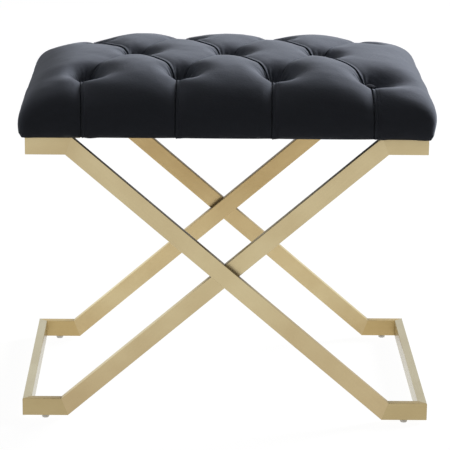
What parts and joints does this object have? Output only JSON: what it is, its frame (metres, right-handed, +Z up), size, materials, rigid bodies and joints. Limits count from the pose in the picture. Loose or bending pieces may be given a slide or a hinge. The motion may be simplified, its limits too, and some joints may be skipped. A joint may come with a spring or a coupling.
{
  "type": "upholstered bench",
  "caption": "Small upholstered bench: deep diamond-tufted dark seat pad on nested, crossed Z-shaped frames of rectangular brass-finished tube with floor bars and small glides.",
  "frame": {"origin": "on the floor, under the middle of the seat", "axes": "+X along the bench to the right, +Y to the back, +Z up"},
  "size_m": [0.5526, 0.4104, 0.4806],
  "materials": {
    "upholstery": "soft satin, fine grain",
    "brass_tube": "brushed, pale champagne brass on steel tube",
    "foam": "open-cell foam",
    "plywood": "raw plywood",
    "nonwoven": "black nonwoven cloth",
    "twine": "waxed twine",
    "glide": "grey nylon",
    "zinc": "zinc plated"
  },
  "bodies": {
    "root": {"dust_cover": "nonwoven", "front_1_button": "upholstery", "front_1_tie": "twine", "front_2_button": "upholstery", "front_2_tie": "twine", "front_3_button": "upholstery", "front_3_tie": "twine", "front_4_button": "upholstery", "front_4_tie": "twine", "inner_foot_bar": "brass_tube", "inner_front_arm": "brass_tube", "inner_front_foot": "brass_tube", "inner_front_glide": "glide", "inner_front_insert_nut": "zinc", "inner_front_leg": "brass_tube", "inner_front_seat_plate": "brass_tube", "inner_front_seat_screw": "zinc", "inner_rear_arm": "brass_tube", "inner_rear_foot": "brass_tube", "inner_rear_glide": "glide", "inner_rear_insert_nut": "zinc", "inner_rear_leg": "brass_tube", "inner_rear_seat_plate": "brass_tube", "inner_rear_seat_screw": "zinc", "inner_seat_bar": "brass_tube", "middle_1_button": "upholstery", "middle_1_tie": "twine", "middle_2_button": "upholstery", "middle_2_tie": "twine", "middle_3_button": "upholstery", "middle_3_tie": "twine", "outer_foot_bar": "brass_tube", "outer_front_arm": "brass_tube", "outer_front_foot": "brass_tube", "outer_front_glide": "glide", "outer_front_insert_nut": "zinc", "outer_front_leg": "brass_tube", "outer_front_seat_plate": "brass_tube", "outer_front_seat_screw": "zinc", "outer_rear_arm": "brass_tube", "outer_rear_foot": "brass_tube", "outer_rear_glide": "glide", "outer_rear_insert_nut": "zinc", "outer_rear_leg": "brass_tube", "outer_rear_seat_plate": "brass_tube", "outer_rear_seat_screw": "zinc", "outer_seat_bar": "brass_tube", "rear_1_button": "upholstery", "rear_1_tie": "twine", "rear_2_button": "upholstery", "rear_2_tie": "twine", "rear_3_button": "upholstery", "rear_3_tie": "twine", "rear_4_button": "upholstery", "rear_4_tie": "twine", "seat_board": "plywood", "seat_cover": "upholstery", "seat_foam": "foam"}
  },
  "joints": []
}
